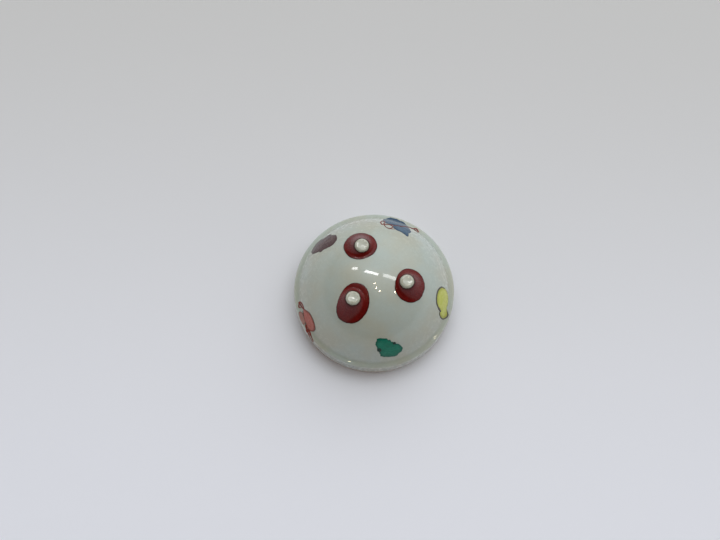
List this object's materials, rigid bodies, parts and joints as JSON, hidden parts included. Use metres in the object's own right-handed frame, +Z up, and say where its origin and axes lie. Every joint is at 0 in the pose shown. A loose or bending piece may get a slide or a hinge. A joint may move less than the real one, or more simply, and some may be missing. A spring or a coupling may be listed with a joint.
{
  "type": "flower frog",
  "caption": "Hollow glazed porcelain dome on a rounded foot, with three raised red knobs that have white tips, and five small painted enamel motifs.",
  "frame": {"origin": "middle of the underside of the foot, on the surface that the object stands on", "axes": "+Z up through the top of the dome, +X towards the yellow gourd motif, +Y away from the green bean motif"},
  "size_m": [0.064, 0.064, 0.0312],
  "materials": {
    "celadon_glaze": "glossy grey-green glaze",
    "white_glaze": "glossy white glaze",
    "bare_clay": "matt unglazed fired clay with an ochre rim",
    "red_enamel": "glossy oxblood red enamel",
    "purple_enamel": "glossy translucent enamel with brush streaks",
    "blue_enamel": "glossy translucent enamel",
    "red_line": "thin painted enamel line",
    "yellow_enamel": "glossy translucent enamel",
    "dark_line": "thin painted enamel line",
    "green_enamel": "glossy translucent enamel",
    "dark_green_enamel": "glossy pooled enamel",
    "pink_enamel": "glossy translucent enamel"
  },
  "bodies": {
    "root": {"dome_shell": "celadon_glaze", "foot_band": "celadon_glaze", "bare_foot_edge": "bare_clay", "rear_knob": "white_glaze", "right_knob": "white_glaze", "front_knob": "white_glaze", "rear_red_collar": "red_enamel", "right_red_collar": "red_enamel", "front_red_collar": "red_enamel", "purple_leaf": "purple_enamel", "blue_bird": "blue_enamel", "blue_bird_tail": "blue_enamel", "blue_bird_lines": "red_line", "yellow_gourd": "yellow_enamel", "yellow_gourd_outline": "dark_line", "green_bean": "green_enamel", "green_bean_marks": "dark_green_enamel", "pink_bud": "pink_enamel", "pink_bud_outline": "dark_line", "pink_leaf": "red_line", "pink_bud_cord": "red_line"}
  },
  "joints": []
}
